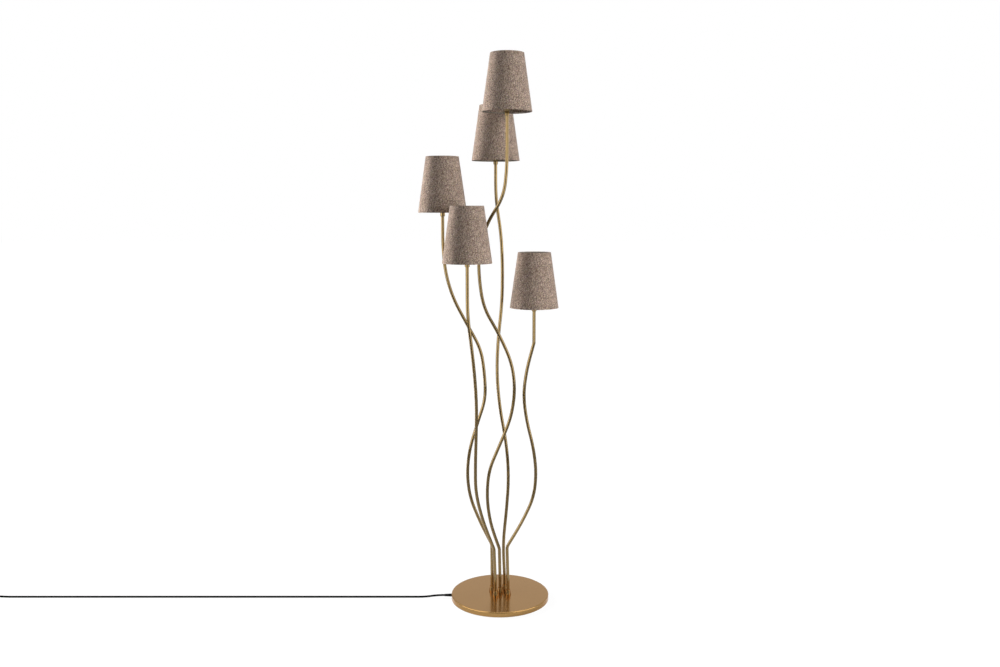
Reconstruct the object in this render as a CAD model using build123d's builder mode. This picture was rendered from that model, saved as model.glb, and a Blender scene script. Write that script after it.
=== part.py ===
from build123d import *
from math import cos, pi, radians, sin, sqrt, tan
import os

# Floor lamp with five bent tubes that rise from one round base, each carrying a small tapered shade.
# Millimetres, +Z up. The origin is the centre of the underside of the base, the cord leaves towards -X,
# and the side that the lamp shows to a room faces -Y.

# ---- base ----
BASE_RADIUS = 148.0
COVER_TOP = 17.0            # height of the base's top face above the floor
COVER_WALL = 1.5
COVER_EDGE_RADIUS = 3.0     # rounded edge between the top and the rim
PAD_INSET = 7.0             # from the edge of the base to the edge of the felt pad
PAD_RADIUS = BASE_RADIUS - PAD_INSET
PAD_THICKNESS = 2.0
PLATE_THICKNESS = 1.5
PLATE_CLEARANCE = 0.5       # between the floor plate and the inside of the rim
WEIGHT_CLEARANCE = 1.5      # between the iron weight and the inside of the rim
WELL_RADIUS = 62.0          # round hollow under the weight for the nuts and the wiring
WELL_DEPTH = 9.0
CHANNEL_WIDTH = 14.0        # slot in the weight from the well to the cord's outlet

# ---- screws of the floor plate ----
SCREW_INSET = 33.0          # from the edge of the base to the circle of the screws
SCREW_CIRCLE = BASE_RADIUS - SCREW_INSET
SCREW_COUNT = 4
SCREW_RADIUS = 1.5
SCREW_HEAD_RADIUS = 3.0
SCREW_LENGTH = 9.0

# ---- foot of each arm ----
FERRULE_CIRCLE = 28.0       # four arms stand on this circle, and one at its centre
FERRULE_RADIUS = 9.0
FERRULE_FOOT_HEIGHT = 2.5
FERRULE_TOP_RADIUS = 6.2
FERRULE_HEIGHT = 18.0
NIPPLE_RADIUS = 5.0
NIPPLE_WALL = 1.0
NIPPLE_INSERT = 9.0         # how far the threaded nipple reaches up into the ferrule
NIPPLE_TAIL = 1.0           # thread left showing below the nut
THREAD_CLEARANCE = 0.1
WASHER_RADIUS = 9.0
WASHER_THICKNESS = 1.0
NUT_ACROSS_FLATS = 14.0
NUT_THICKNESS = 3.0

# ---- tubes ----
TUBE_RADIUS = 4.75
TUBE_WALL = 0.9
TUBE_CLEARANCE = 0.1
KINK_RADIUS = 30.0          # the sharp bend above each ferrule, and the one below shade 5
RUN_SHARE = 0.48            # share of the shorter run that a gentle bend takes
LAMP_WIRE_RADIUS = 2.2

# ---- holder at the top of each tube ----
NECK_RADIUS = 7.0           # the small collar that shows below the shade
NECK_DROP = 11.0            # how far the collar reaches below the shade's lower edge
NECK_RISE = 3.0             # floor of the cup, above the shade's lower edge
NECK_ROUND = 2.0            # rounded lower edge of the collar
CUP_RADIUS = 16.5
CUP_FLARE_HEIGHT = 14.0
CUP_HEIGHT = 30.0           # rim of the cup, above the shade's lower edge
CUP_WALL = 1.2
CUP_FLOOR = 2.0
HOLDER_RADIUS = 13.8
HOLDER_HEIGHT = 50.0        # length of the lampholder
HOLDER_CLEARANCE = 0.3
SOCKET_RADIUS = 8.4
SOCKET_DEPTH = 30.0
SPIGOT_RADIUS = 3.4
RING_RADIUS = 21.0
RING_HEIGHT = 6.0
RING_GRIPS = 24
GRIP_RADIUS = 0.9

# ---- bulb ----
CAP_RADIUS = 6.9
CAP_HEIGHT = 30.0
GLASS_FOOT_RADIUS = 8.0
GLASS_RADIUS = 17.5
GLASS_BELLY = 26.0          # height of the widest place above the cap
GLASS_HEIGHT = 66.0
GLASS_TIP_RADIUS = 4.0

# ---- shade ----
SHADE_BOTTOM_RADIUS = 71.5
SHADE_TOP_RADIUS = 48.2
SHADE_HEIGHT = 162.0
SHADE_WALL = 1.0
WIRE_RADIUS = 1.5           # rings and arms of the shade's frame
WIRE_GAP = 0.3              # between a ring and the cloth that it carries
WIRE_LIFT = 2.2             # centre of a ring, in from the shade's edge
HUB_RADIUS = 20.0
HUB_THICKNESS = 1.6
HUB_GAP = 0.3               # running gap between the hub and what clamps it
HUB_BORE_GAP = 0.5
SPIDER_ARMS = 3

# ---- cord ----
CORD_RADIUS = 3.0
CORD_RUN_SHARE = 0.45       # share of the shorter run that a bend of the cord takes
CORD_EXIT = 20.0            # level run out of the strain relief
CORD_FALL = 40.0            # from there down to the floor
CORD_RISE = 35.0            # from the floor up to the height of the switch's port
CORD_ENTRY = 25.0           # level run into the switch
OUTLET_HEIGHT = 8.5         # axis of the cord where it leaves the rim
RELIEF_LENGTH = 22.0
RELIEF_ROOT_RADIUS = 4.6
RELIEF_TIP_RADIUS = 3.5
RELIEF_NECK_RADIUS = 4.0
RELIEF_FLANGE_RADIUS = 4.9
RELIEF_FLANGE = 1.5
LEAD_CLEARANCE = 0.15
CLAMP_LENGTH = 9.0
CLAMP_WIDTH = 12.0
CLAMP_HEIGHT = 8.6
CLAMP_PLACE = -88.0
BLOCK_PLACE = -46.0
BLOCK_LENGTH = 12.0
BLOCK_WIDTH = 27.0
BLOCK_HEIGHT = 7.5
BLOCK_WAYS = 3
BLOCK_HOLE_RADIUS = 1.6

# ---- foot switch in the cord ----
SWITCH_NEAR = -1572.0       # end of the switch that faces the lamp
SWITCH_LENGTH = 66.0
SWITCH_WIDTH = 34.0
SWITCH_BASE_HEIGHT = 9.0
SWITCH_HEIGHT = 22.0
SWITCH_WALL = 2.0
SWITCH_EDGE = 5.0
PORT_HEIGHT = 5.0           # axis of the cord where it enters the switch
PORT_RADIUS = 2.0
BUTTON_RADIUS = 8.5
BUTTON_TRAVEL = 2.5
BUTTON_PROUD = 1.0          # what still stands out of the cover when the button is pressed
BUTTON_FLANGE_RADIUS = 10.5
BUTTON_FLANGE = 1.5
BUTTON_LENGTH = 13.0
BUTTON_GAP = 0.3
SPRING_RADIUS = 6.0
SPRING_WALL = 1.0

# ---- put-away coil and plug ----
COIL_BEYOND_SWITCH = 48.0   # from the switch's far end to the middle of the coil
COIL_RADIUS = 36.0          # outermost turn, to the middle of the cord
COIL_PITCH = 6.6            # from one turn to the next
COIL_LAYER = 6.6            # from one layer to the next
COIL_TURNS = 2.5
CLIMB_TURNS = 0.5           # where the coil climbs from its lower to its upper layer
PLUG_BEYOND_SWITCH = 3.0    # from the switch's far end to the back of the plug's neck
PLUG_NECK_LENGTH = 15.0
PLUG_NECK_RADIUS = 5.5
PLUG_BODY_LENGTH = 36.0
PLUG_WIDTH = 35.0
PLUG_BACK_WIDTH = 14.0
PLUG_THICKNESS = 14.0
PLUG_EDGE = 3.0
PIN_RADIUS = 2.0
PIN_LENGTH = 19.0
PIN_SPACING = 19.0

# ---- the five arms ----
UPRIGHT_FOOT = 60.0         # height up to which each tube stands upright in its ferrule
HEAD_HEIGHT_1 = 1455.0      # lower edges of the shades above the floor
HEAD_HEIGHT_2 = 1324.0
HEAD_HEIGHT_3 = 1171.0
HEAD_HEIGHT_4 = 1029.0
HEAD_HEIGHT_5 = 895.0
# angle is the arm's place on the circle of ferrules, or None for the one at the centre.
# kink is the height of the first bend, and lean is how far the tube leans from its foot on the way there.
# bends are the corners between the kink and the upright top end, evenly spread in height.
# upright is the length of that end, and head is the foot of the shade's axis.
ARMS = {
    1: dict(
        angle=None, kink=156, lean=(-2, 0), upright=155, head=(20, -35, HEAD_HEIGHT_1),
        foot_radius=KINK_RADIUS, top_radius=None,
        bends=[
            (-30, 0), (-40, -2), (-34, -3), (0, -6), (33, -9), (45, -12), (36, -11),
            (0, -1), (-48, 5), (-61, 3), (-63, -6), (-40, -20), (11, -34),
        ],
    ),
    2: dict(
        angle=60, kink=165, lean=(-5, 1), upright=114, head=(-13, 90, HEAD_HEIGHT_2),
        foot_radius=None, top_radius=None,
        bends=[(20, 26), (27, 31), (19, 38), (-1, 47), (-10, 57), (-6, 66), (6, 75), (8, 82), (4, 88)],
    ),
    3: dict(
        angle=150, kink=165, lean=(-1, 0), upright=101, head=(-168, 20, HEAD_HEIGHT_3),
        foot_radius=KINK_RADIUS, top_radius=None,
        bends=[
            (-63, 14), (-92, 15), (-100, 15), (-91, 15), (-68, 16), (-43, 17),
            (-46, 18), (-57, 19), (-99, 19), (-139, 19), (-161, 20),
        ],
    ),
    4: dict(
        angle=240, kink=163, lean=(-4, 0), upright=149, head=(-93, -90, HEAD_HEIGHT_4),
        foot_radius=KINK_RADIUS, top_radius=None,
        bends=[(-52, -27), (-73, -34), (-73, -43), (-70, -55), (-68, -65), (-73, -76), (-82, -84)],
    ),
    5: dict(
        angle=330, kink=167, lean=(-3, 0), upright=105, head=(100, -12, HEAD_HEIGHT_5),
        foot_radius=KINK_RADIUS, top_radius=KINK_RADIUS,
        bends=[(67, -14), (102, -14), (109, -13), (99, -13), (79, -12), (69, -12), (79, -12)],
    ),
}

# ---- route of the cord from the strain relief to the foot switch ----
CORD_START = -BASE_RADIUS - RELIEF_LENGTH
CORD_POINTS = [
    (CORD_START, 0, OUTLET_HEIGHT),
    (CORD_START - CORD_EXIT, 0, OUTLET_HEIGHT),
    (CORD_START - CORD_EXIT - CORD_FALL, 0, CORD_RADIUS),
    (SWITCH_NEAR + CORD_ENTRY + CORD_RISE, 0, CORD_RADIUS),
    (SWITCH_NEAR + CORD_ENTRY, 0, PORT_HEIGHT),
    (SWITCH_NEAR, 0, PORT_HEIGHT),
]

# ---- heights and radii that follow from the sizes above ----
PLATE_BOTTOM = PAD_THICKNESS
WEIGHT_BOTTOM = PLATE_BOTTOM + PLATE_THICKNESS
WEIGHT_TOP = COVER_TOP - COVER_WALL
WELL_TOP = WEIGHT_BOTTOM + WELL_DEPTH
RIM_INSIDE = BASE_RADIUS - COVER_WALL
WASHER_BOTTOM = WELL_TOP - WASHER_THICKNESS
NUT_BOTTOM = WASHER_BOTTOM - NUT_THICKNESS
NIPPLE_BOTTOM = NUT_BOTTOM - NIPPLE_TAIL
NIPPLE_TOP = COVER_TOP + NIPPLE_INSERT
NIPPLE_HOLE = NIPPLE_RADIUS + THREAD_CLEARANCE
TUBE_BORE = TUBE_RADIUS - TUBE_WALL
TUBE_SEAT = TUBE_RADIUS + TUBE_CLEARANCE
CUP_BASE = NECK_RISE - CUP_FLOOR
HOLDER_BOTTOM = NECK_RISE
HOLDER_TOP = HOLDER_BOTTOM + HOLDER_HEIGHT
HUB_BOTTOM = CUP_HEIGHT + HUB_GAP
HUB_TOP = HUB_BOTTOM + HUB_THICKNESS
RING_BOTTOM = HUB_TOP + HUB_GAP
CAP_BOTTOM = HOLDER_TOP - SOCKET_DEPTH + 2 * HOLDER_CLEARANCE
CAP_TOP = CAP_BOTTOM + CAP_HEIGHT
SHADE_SLOPE = (SHADE_BOTTOM_RADIUS - SHADE_TOP_RADIUS) / SHADE_HEIGHT
SWITCH_FAR = SWITCH_NEAR - SWITCH_LENGTH
SWITCH_CENTRE = (SWITCH_NEAR + SWITCH_FAR) / 2
BUTTON_TOP = SWITCH_HEIGHT + BUTTON_PROUD + BUTTON_TRAVEL
BUTTON_BOTTOM = BUTTON_TOP - BUTTON_LENGTH
COIL_CENTRE_X = SWITCH_FAR - COIL_BEYOND_SWITCH
COIL_CENTRE_Y = -COIL_RADIUS
PLUG_NECK_START = SWITCH_FAR - PLUG_BEYOND_SWITCH
PLUG_Y = COIL_CENTRE_Y - COIL_RADIUS
PLUG_HEIGHT = PLUG_THICKNESS / 2
PLUG_BACK = PLUG_NECK_START + PLUG_NECK_LENGTH
PLUG_FACE = PLUG_BACK + PLUG_BODY_LENGTH

os.makedirs("parts", exist_ok=True)


def write(piece, name):
    piece.part.label = name
    export_step(piece.part, f"parts/{name}.step")


def arm_foot(arm):
    """Where an arm's axis stands on the base."""
    if arm["angle"] is None:
        return (0.0, 0.0)
    turn = radians(arm["angle"])
    return (FERRULE_CIRCLE * cos(turn), FERRULE_CIRCLE * sin(turn))


def route_of_arm(arm, bottom, top):
    """Corners of an arm's route between two heights, and the radius of the bend at each corner."""
    x, y = arm_foot(arm)
    lean_x, lean_y = arm["lean"]
    head_x, head_y, head_z = arm["head"]
    straight = head_z - arm["upright"]
    step = (straight - arm["kink"]) / (len(arm["bends"]) + 1)
    points = [Vector(x, y, bottom), Vector(x, y, UPRIGHT_FOOT), Vector(x + lean_x, y + lean_y, arm["kink"])]
    points += [Vector(*bend, arm["kink"] + step * count) for count, bend in enumerate(arm["bends"], 1)]
    points += [Vector(head_x, head_y, straight), Vector(head_x, head_y, top)]
    radii = bend_radii(points, RUN_SHARE)
    if arm["foot_radius"]:
        radii[1] = arm["foot_radius"]
    if arm["top_radius"]:
        radii[-1] = arm["top_radius"]
    return points, radii


def bend_radii(points, share):
    """Radius of each corner, as large as a share of its shorter run allows."""
    radii = []
    for before, corner, after in zip(points, points[1:], points[2:]):
        run_in = corner - before
        run_out = after - corner
        half_turn = radians(run_in.get_angle(run_out)) / 2
        radii.append(share * min(run_in.length, run_out.length) / tan(half_turn))
    return radii


def print_tube(name, tube, path, section):
    """Print the length of a swept tube, and its volume as a share of section times length."""
    length = path.wire().length
    print(f"{name}: length {length:.0f}, volume / expected {tube.part.volume / section / length:.4f}")


def biarc(start, start_way, end, end_way):
    """Two arcs that join two points, tangent to the way given at each."""
    chord = end - start
    ways = start_way + end_way
    a = ways.dot(ways) - 4
    b = -2 * chord.dot(ways)
    c = chord.dot(chord)
    reach = 2 * c / (sqrt(b * b - 4 * a * c) - b)
    first_corner = start + start_way * reach
    second_corner = end - end_way * reach
    joint = (first_corner + second_corner) / 2
    TangentArc(start, joint, tangent=start_way)
    TangentArc(joint, end, tangent=second_corner - first_corner)


# ---------------------------------------------------------------- base

def make_base_cover():
    with BuildPart() as base_cover:
        with BuildSketch(Plane.XY.offset(PLATE_BOTTOM)):
            Circle(BASE_RADIUS)
        extrude(amount=COVER_TOP - PLATE_BOTTOM)
        fillet(base_cover.edges().sort_by(Axis.Z)[-1], COVER_EDGE_RADIUS)
        with BuildSketch(Plane.XY.offset(PLATE_BOTTOM)):
            Circle(RIM_INSIDE)
        extrude(amount=WEIGHT_TOP - PLATE_BOTTOM, mode=Mode.SUBTRACT)
        for arm in ARMS.values():
            with BuildSketch(Plane.XY.offset(WEIGHT_TOP)):
                with Locations(arm_foot(arm)):
                    Circle(NIPPLE_HOLE)
            extrude(amount=COVER_WALL, mode=Mode.SUBTRACT)
        with BuildSketch(Plane.YZ.offset(-BASE_RADIUS - COVER_WALL)):
            with Locations((0, OUTLET_HEIGHT)):
                Circle(RELIEF_NECK_RADIUS + TUBE_CLEARANCE)
        extrude(amount=COVER_WALL * 4, mode=Mode.SUBTRACT)
    write(base_cover, "base_cover")


def make_base_weight():
    outside = RIM_INSIDE - WEIGHT_CLEARANCE
    channel_end = outside + COVER_WALL
    with BuildPart() as base_weight:
        with BuildSketch(Plane.XY.offset(WEIGHT_BOTTOM)):
            Circle(outside)
        extrude(amount=WEIGHT_TOP - WEIGHT_BOTTOM)
        fillet(base_weight.edges().sort_by(Axis.Z)[-1], COVER_EDGE_RADIUS)
        with BuildSketch(Plane.XY.offset(WEIGHT_BOTTOM)):
            Circle(WELL_RADIUS)
            with Locations((-channel_end / 2, 0)):
                Rectangle(channel_end, CHANNEL_WIDTH)
        extrude(amount=WELL_DEPTH, mode=Mode.SUBTRACT)
        for arm in ARMS.values():
            with BuildSketch(Plane.XY.offset(WELL_TOP)):
                with Locations(arm_foot(arm)):
                    Circle(NIPPLE_HOLE)
            extrude(amount=WEIGHT_TOP - WELL_TOP, mode=Mode.SUBTRACT)
        with BuildSketch(Plane.XY.offset(WEIGHT_BOTTOM)):
            with PolarLocations(SCREW_CIRCLE, SCREW_COUNT, start_angle=45):
                Circle(SCREW_RADIUS + THREAD_CLEARANCE)
        extrude(amount=SCREW_LENGTH, mode=Mode.SUBTRACT)
    write(base_weight, "base_weight")


def make_base_plate():
    with BuildPart() as base_plate:
        with BuildSketch(Plane.XY.offset(PLATE_BOTTOM)):
            Circle(RIM_INSIDE - PLATE_CLEARANCE)
        extrude(amount=PLATE_THICKNESS)
        with BuildSketch(Plane.XY.offset(PLATE_BOTTOM)):
            with PolarLocations(SCREW_CIRCLE, SCREW_COUNT, start_angle=45):
                Circle(SCREW_HEAD_RADIUS + THREAD_CLEARANCE)
        extrude(amount=PLATE_THICKNESS, taper=45, mode=Mode.SUBTRACT)
    write(base_plate, "base_plate")


def make_base_pad():
    with BuildPart() as base_pad:
        with BuildSketch():
            Circle(PAD_RADIUS)
        extrude(amount=PAD_THICKNESS)
    write(base_pad, "base_pad")


def make_plate_screws():
    head = SCREW_HEAD_RADIUS - SCREW_RADIUS
    with BuildPart() as plate_screws:
        with PolarLocations(SCREW_CIRCLE, SCREW_COUNT, start_angle=45):
            with Locations((0, 0, PLATE_BOTTOM)):
                Cone(SCREW_HEAD_RADIUS, SCREW_RADIUS, head, align=(Align.CENTER, Align.CENTER, Align.MIN))
                Cylinder(SCREW_RADIUS, SCREW_LENGTH, align=(Align.CENTER, Align.CENTER, Align.MIN))
    write(plate_screws, "plate_screws")


def make_arm_nipples():
    with BuildPart() as arm_nipples:
        for arm in ARMS.values():
            with BuildSketch(Plane.XY.offset(NIPPLE_BOTTOM)):
                with Locations(arm_foot(arm)):
                    Circle(NIPPLE_RADIUS)
                    Circle(NIPPLE_RADIUS - NIPPLE_WALL, mode=Mode.SUBTRACT)
            extrude(amount=NIPPLE_TOP - NIPPLE_BOTTOM)
    write(arm_nipples, "arm_nipples")


def make_nipple_washers():
    with BuildPart() as nipple_washers:
        for arm in ARMS.values():
            with BuildSketch(Plane.XY.offset(WASHER_BOTTOM)):
                with Locations(arm_foot(arm)):
                    Circle(WASHER_RADIUS)
                    Circle(NIPPLE_HOLE, mode=Mode.SUBTRACT)
            extrude(amount=WASHER_THICKNESS)
    write(nipple_washers, "nipple_washers")


def make_nipple_nuts():
    with BuildPart() as nipple_nuts:
        for arm in ARMS.values():
            with BuildSketch(Plane.XY.offset(NUT_BOTTOM)):
                with Locations(arm_foot(arm)):
                    RegularPolygon(NUT_ACROSS_FLATS / 2, 6, major_radius=False)
                    Circle(NIPPLE_HOLE, mode=Mode.SUBTRACT)
            extrude(amount=NUT_THICKNESS)
    write(nipple_nuts, "nipple_nuts")


def make_terminal_block():
    with BuildPart() as terminal_block:
        with BuildSketch(Plane.XY.offset(WELL_TOP - BLOCK_HEIGHT)):
            with Locations((BLOCK_PLACE, 0)):
                Rectangle(BLOCK_LENGTH, BLOCK_WIDTH)
        extrude(amount=BLOCK_HEIGHT)
        fillet(terminal_block.edges().filter_by(Axis.Z), BLOCK_HOLE_RADIUS / 2)
        with BuildSketch(Plane.YZ.offset(BLOCK_PLACE - BLOCK_LENGTH)):
            with Locations((0, OUTLET_HEIGHT)):
                with GridLocations(BLOCK_WIDTH / BLOCK_WAYS, 1, BLOCK_WAYS, 1):
                    Circle(BLOCK_HOLE_RADIUS)
        extrude(amount=BLOCK_LENGTH * 2, mode=Mode.SUBTRACT)
    write(terminal_block, "terminal_block")


def make_cord_clamp():
    with BuildPart() as cord_clamp:
        with BuildSketch(Plane.XY.offset(WELL_TOP - CLAMP_HEIGHT)):
            with Locations((CLAMP_PLACE, 0)):
                Rectangle(CLAMP_LENGTH, CLAMP_WIDTH)
        extrude(amount=CLAMP_HEIGHT)
        with BuildSketch(Plane.YZ.offset(CLAMP_PLACE - CLAMP_LENGTH)):
            with Locations((0, OUTLET_HEIGHT)):
                Circle(CORD_RADIUS + LEAD_CLEARANCE)
        extrude(amount=CLAMP_LENGTH * 2, mode=Mode.SUBTRACT)
    write(cord_clamp, "cord_clamp")


def make_strain_relief():
    bore = CORD_RADIUS + LEAD_CLEARANCE
    inside = RIM_INSIDE
    with BuildPart() as strain_relief:
        with BuildSketch(Plane.XZ):
            with BuildLine():
                Polyline(
                    (-inside + RELIEF_FLANGE, OUTLET_HEIGHT + bore),
                    (-inside + RELIEF_FLANGE, OUTLET_HEIGHT + RELIEF_FLANGE_RADIUS),
                    (-inside + TUBE_CLEARANCE, OUTLET_HEIGHT + RELIEF_FLANGE_RADIUS),
                    (-inside + TUBE_CLEARANCE, OUTLET_HEIGHT + RELIEF_NECK_RADIUS),
                    (-BASE_RADIUS - TUBE_CLEARANCE, OUTLET_HEIGHT + RELIEF_NECK_RADIUS),
                    (-BASE_RADIUS - TUBE_CLEARANCE, OUTLET_HEIGHT + RELIEF_ROOT_RADIUS),
                    (CORD_START, OUTLET_HEIGHT + RELIEF_TIP_RADIUS),
                    (CORD_START, OUTLET_HEIGHT + bore),
                    close=True,
                )
            make_face()
        revolve(axis=Axis((0, 0, OUTLET_HEIGHT), (1, 0, 0)))
    write(strain_relief, "strain_relief")


def make_inner_wires():
    """The mains lead inside the base, and one lamp wire in each tube, up to its lampholder."""
    lead_end = BLOCK_PLACE - BLOCK_LENGTH / 2
    with BuildPart() as inner_wires:
        with BuildSketch(Plane.YZ.offset(CORD_START)):
            with Locations((0, OUTLET_HEIGHT)):
                Circle(CORD_RADIUS)
        extrude(amount=lead_end - CORD_START)
        for arm in ARMS.values():
            top = arm["head"][2] + HOLDER_BOTTOM - CUP_FLOOR - NECK_RISE
            points, radii = route_of_arm(arm, NIPPLE_BOTTOM, top)
            with BuildLine() as path:
                FilletPolyline(*points, radius=radii)
            with BuildSketch(Plane.XY.offset(NIPPLE_BOTTOM)) as section:
                with Locations(arm_foot(arm)):
                    Circle(LAMP_WIRE_RADIUS)
            sweep(sections=section.sketch, path=path.line)
    write(inner_wires, "inner_wires")


# ---------------------------------------------------------------- arms

def make_ferrule(number, arm):
    x, y = arm_foot(arm)
    top = COVER_TOP + FERRULE_HEIGHT
    with BuildPart() as ferrule:
        with BuildSketch(Plane.XZ):
            with BuildLine():
                Polyline(
                    (NIPPLE_HOLE, COVER_TOP),
                    (FERRULE_RADIUS, COVER_TOP),
                    (FERRULE_RADIUS, COVER_TOP + FERRULE_FOOT_HEIGHT),
                    (FERRULE_TOP_RADIUS, top - FERRULE_FOOT_HEIGHT),
                    (FERRULE_TOP_RADIUS, top),
                    (TUBE_SEAT, top),
                    (TUBE_SEAT, NIPPLE_TOP),
                    (NIPPLE_HOLE, NIPPLE_TOP),
                    close=True,
                )
            make_face()
        revolve(axis=Axis.Z)
    ferrule.part.position = (x, y, 0)
    write(ferrule, f"ferrule_{number}")


def make_tube(number, arm):
    top = arm["head"][2] + CUP_BASE
    points, radii = route_of_arm(arm, NIPPLE_TOP, top)
    with BuildPart() as tube:
        with BuildLine() as path:
            FilletPolyline(*points, radius=radii)
        with BuildSketch(Plane.XY.offset(NIPPLE_TOP)) as section:
            with Locations(arm_foot(arm)):
                Circle(TUBE_RADIUS)
                Circle(TUBE_BORE, mode=Mode.SUBTRACT)
        sweep(sections=section.sketch, path=path.line)
    write(tube, f"tube_{number}")
    print_tube(f"tube_{number}", tube, path, pi * (TUBE_RADIUS**2 - TUBE_BORE**2))


def make_holder_cup(number, arm):
    with BuildPart() as holder_cup:
        with BuildSketch(Plane.XZ):
            with BuildLine():
                neck = Polyline(
                    (NECK_RADIUS, -NECK_DROP + NECK_ROUND),
                    (NECK_RADIUS, CUP_BASE),
                    (CUP_RADIUS, CUP_FLARE_HEIGHT),
                    (CUP_RADIUS, CUP_HEIGHT),
                    (CUP_RADIUS - CUP_WALL, CUP_HEIGHT),
                    (CUP_RADIUS - CUP_WALL, CUP_FLARE_HEIGHT + CUP_WALL / 2),
                    (NECK_RADIUS, NECK_RISE),
                    (SPIGOT_RADIUS + THREAD_CLEARANCE, NECK_RISE),
                    (SPIGOT_RADIUS + THREAD_CLEARANCE, CUP_BASE),
                    (TUBE_SEAT, CUP_BASE),
                    (TUBE_SEAT, -NECK_DROP),
                    (NECK_RADIUS - NECK_ROUND, -NECK_DROP),
                )
                TangentArc(neck @ 1, neck @ 0, tangent=(1, 0))
            make_face()
        revolve(axis=Axis.Z)
    holder_cup.part.position = arm["head"]
    write(holder_cup, f"holder_cup_{number}")


def make_lampholder(number, arm):
    shoulder = NECK_RADIUS - HOLDER_CLEARANCE
    spigot_bottom = CUP_BASE - NECK_RISE
    with BuildPart() as lampholder:
        with BuildSketch(Plane.XZ):
            with BuildLine():
                Polyline(
                    (0, spigot_bottom),
                    (SPIGOT_RADIUS, spigot_bottom),
                    (SPIGOT_RADIUS, HOLDER_BOTTOM),
                    (shoulder, HOLDER_BOTTOM),
                    (HOLDER_RADIUS, CUP_FLARE_HEIGHT + CUP_WALL),
                    (HOLDER_RADIUS, HOLDER_TOP),
                    (SOCKET_RADIUS, HOLDER_TOP),
                    (SOCKET_RADIUS, HOLDER_TOP - SOCKET_DEPTH),
                    (0, HOLDER_TOP - SOCKET_DEPTH),
                    close=True,
                )
            make_face()
        revolve(axis=Axis.Z)
    lampholder.part.position = arm["head"]
    write(lampholder, f"lampholder_{number}")


def make_shade_ring(number, arm):
    with BuildPart() as shade_ring:
        with BuildSketch(Plane.XY.offset(RING_BOTTOM)):
            Circle(RING_RADIUS)
            with PolarLocations(RING_RADIUS, RING_GRIPS):
                Circle(GRIP_RADIUS, mode=Mode.SUBTRACT)
            Circle(HOLDER_RADIUS + THREAD_CLEARANCE, mode=Mode.SUBTRACT)
        extrude(amount=RING_HEIGHT)
    shade_ring.part.position = arm["head"]
    write(shade_ring, f"shade_ring_{number}")


def make_bulb(number, arm):
    glass_top = CAP_TOP + GLASS_HEIGHT
    with BuildPart() as bulb:
        with BuildSketch(Plane.XZ):
            with Locations((CAP_RADIUS / 2, (CAP_BOTTOM + CAP_TOP) / 2)):
                Rectangle(CAP_RADIUS, CAP_TOP - CAP_BOTTOM)
        revolve(axis=Axis.Z)
        with BuildSketch(Plane.XZ):
            with BuildLine():
                belly = (GLASS_RADIUS, CAP_TOP + GLASS_BELLY)
                foot = Line((0, CAP_TOP), (GLASS_FOOT_RADIUS, CAP_TOP))
                TangentArc(belly, foot @ 1, tangent=(0, -1))
                tip = TangentArc(belly, (GLASS_TIP_RADIUS, glass_top - GLASS_TIP_RADIUS / 2), tangent=(0, 1))
                Line(tip @ 1, (0, glass_top))
                Line((0, glass_top), (0, CAP_TOP))
            make_face()
        revolve(axis=Axis.Z)
    bulb.part.position = arm["head"]
    write(bulb, f"bulb_{number}")


def shade_inside(height):
    """Inner radius of the shade's wall at a height above its lower edge."""
    return SHADE_BOTTOM_RADIUS - SHADE_SLOPE * height - SHADE_WALL


def make_shade_frame(number, arm):
    reach = WIRE_RADIUS + WIRE_GAP
    low_ring = shade_inside(WIRE_LIFT + WIRE_RADIUS) - reach
    high_ring = shade_inside(SHADE_HEIGHT) - reach
    hub_middle = HUB_BOTTOM + HUB_THICKNESS / 2
    with BuildPart() as shade_frame:
        with BuildSketch(Plane.XY.offset(HUB_BOTTOM)):
            Circle(HUB_RADIUS)
            Circle(HOLDER_RADIUS + HUB_BORE_GAP, mode=Mode.SUBTRACT)
        extrude(amount=HUB_THICKNESS)
        for turn in range(SPIDER_ARMS):
            around = radians(90 + turn * 360 / SPIDER_ARMS)
            start = Vector(HUB_RADIUS * cos(around), HUB_RADIUS * sin(around), hub_middle)
            end = Vector(low_ring * cos(around), low_ring * sin(around), WIRE_LIFT)
            with BuildSketch(Plane(origin=start, z_dir=end - start)):
                Circle(WIRE_RADIUS)
            extrude(amount=(end - start).length)
        with Locations((0, 0, WIRE_LIFT)):
            Torus(low_ring, WIRE_RADIUS)
        with Locations((0, 0, SHADE_HEIGHT - WIRE_LIFT)):
            Torus(high_ring, WIRE_RADIUS)
    shade_frame.part.position = arm["head"]
    write(shade_frame, f"shade_frame_{number}")


def make_shade_cover(number, arm):
    with BuildPart() as shade_cover:
        with BuildSketch(Plane.XZ):
            with BuildLine():
                Polyline(
                    (SHADE_BOTTOM_RADIUS - SHADE_WALL, 0),
                    (SHADE_BOTTOM_RADIUS, 0),
                    (SHADE_TOP_RADIUS, SHADE_HEIGHT),
                    (SHADE_TOP_RADIUS - SHADE_WALL, SHADE_HEIGHT),
                    close=True,
                )
            make_face()
        revolve(axis=Axis.Z)
    shade_cover.part.position = arm["head"]
    write(shade_cover, f"shade_cover_{number}")


# ---------------------------------------------------------------- cord, foot switch and plug

def make_cord():
    points = [Vector(*point) for point in CORD_POINTS]
    radii = bend_radii(points, CORD_RUN_SHARE)
    print("cord: bend radii", [round(radius) for radius in radii])
    with BuildPart() as cord:
        with BuildLine() as path:
            FilletPolyline(*points, radius=radii)
        with BuildSketch(Plane(origin=points[0], z_dir=points[1] - points[0])) as section:
            Circle(CORD_RADIUS)
        sweep(sections=section.sketch, path=path.line)
    write(cord, "cord")
    print_tube("cord", cord, path, pi * CORD_RADIUS**2)


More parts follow.
